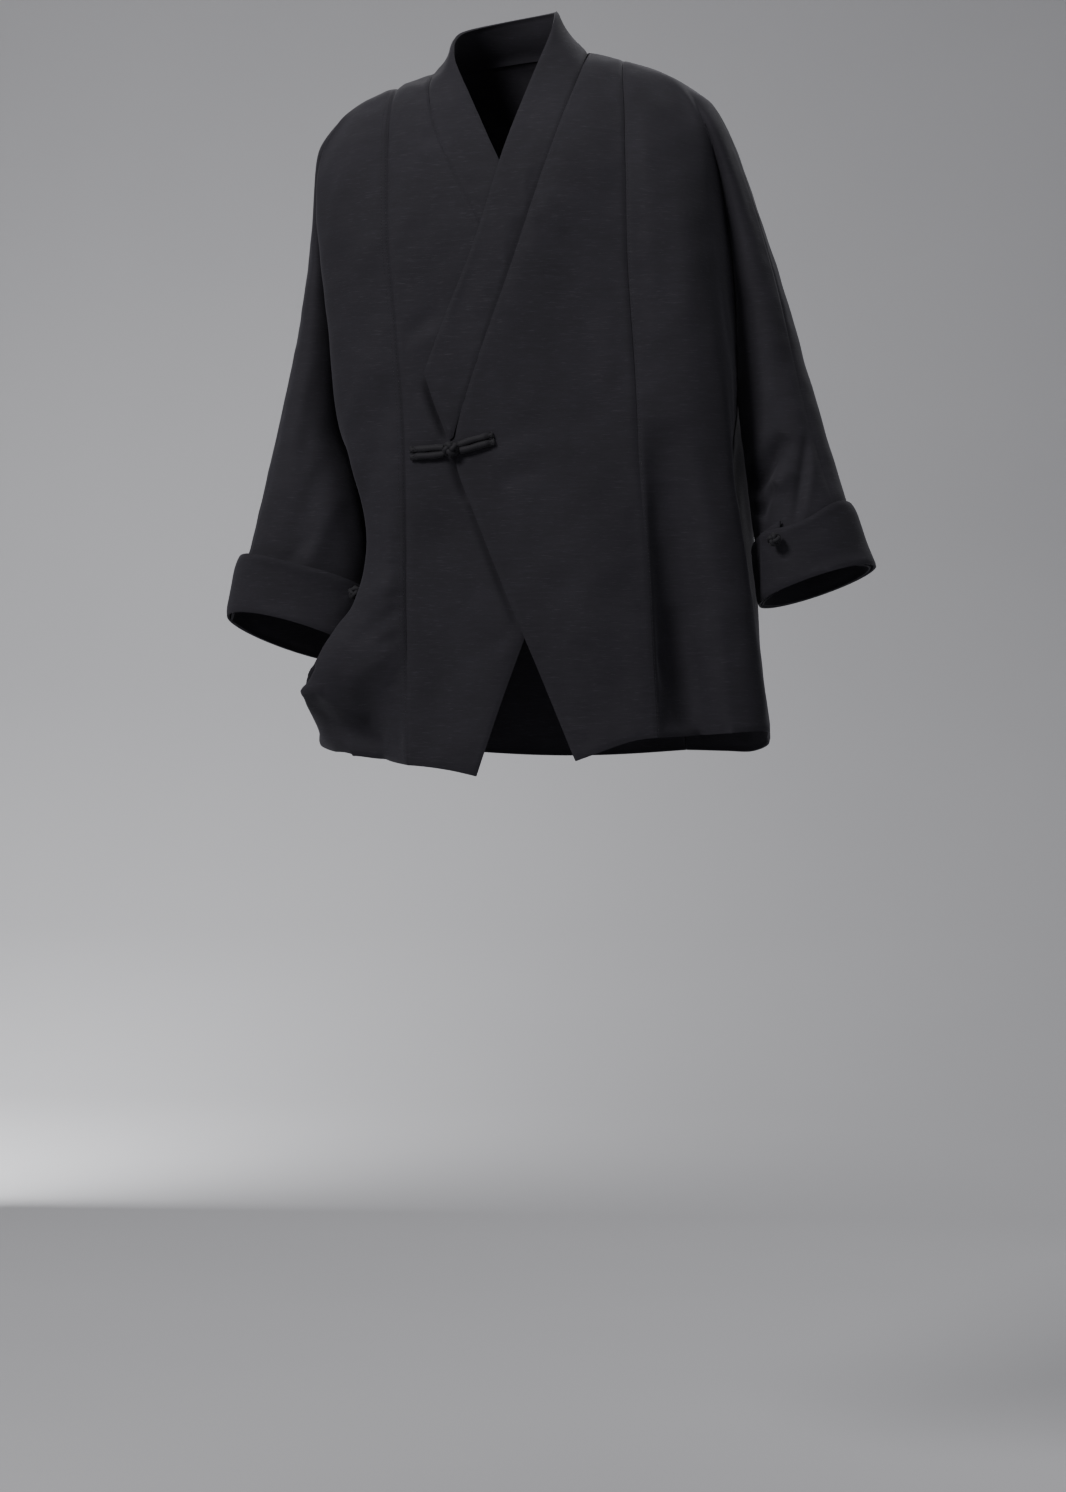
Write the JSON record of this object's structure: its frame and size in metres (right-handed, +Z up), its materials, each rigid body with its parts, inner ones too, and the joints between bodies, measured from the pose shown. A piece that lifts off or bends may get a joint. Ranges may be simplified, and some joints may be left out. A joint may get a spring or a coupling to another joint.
{
  "type": "taoist robe coat",
  "caption": "Hip-length cross-collar jacket as worn, with wide batwing sleeves, turned-back cuffs, a band collar lapped left over right and a corded frog.",
  "frame": {"origin": "middle of the neck base at shoulder height, where the shoulders of the figure hold the garment", "axes": "+X to the wearer's left, -Y to the front, +Z up"},
  "size_m": [0.6659, 0.275, 0.7827],
  "materials": {
    "back_center": "matte black slubbed cloth",
    "collar_band": "matte black slubbed cloth, doubled",
    "cuff_knot_left": "matte black cord",
    "cuff_knot_right": "matte black cord",
    "cuff_left": "matte black slubbed cloth, doubled",
    "cuff_right": "matte black slubbed cloth, doubled",
    "frog_cord": "matte black cord",
    "front_over": "matte black slubbed cloth",
    "front_under": "matte black slubbed cloth",
    "side_back_left": "matte black slubbed cloth",
    "side_back_right": "matte black slubbed cloth",
    "side_front_left": "matte black slubbed cloth",
    "side_front_right": "matte black slubbed cloth"
  },
  "bodies": {
    "root": {"back_center": "back_center", "collar_band": "collar_band", "cuff_knot_left": "cuff_knot_left", "cuff_knot_right": "cuff_knot_right", "cuff_left": "cuff_left", "cuff_right": "cuff_right", "frog_knot": "frog_cord", "frog_loop_bar": "frog_cord", "frog_tail_bar": "frog_cord", "front_over": "front_over", "front_under": "front_under", "side_back_left": "side_back_left", "side_back_right": "side_back_right", "side_front_left": "side_front_left", "side_front_right": "side_front_right"}
  },
  "joints": []
}
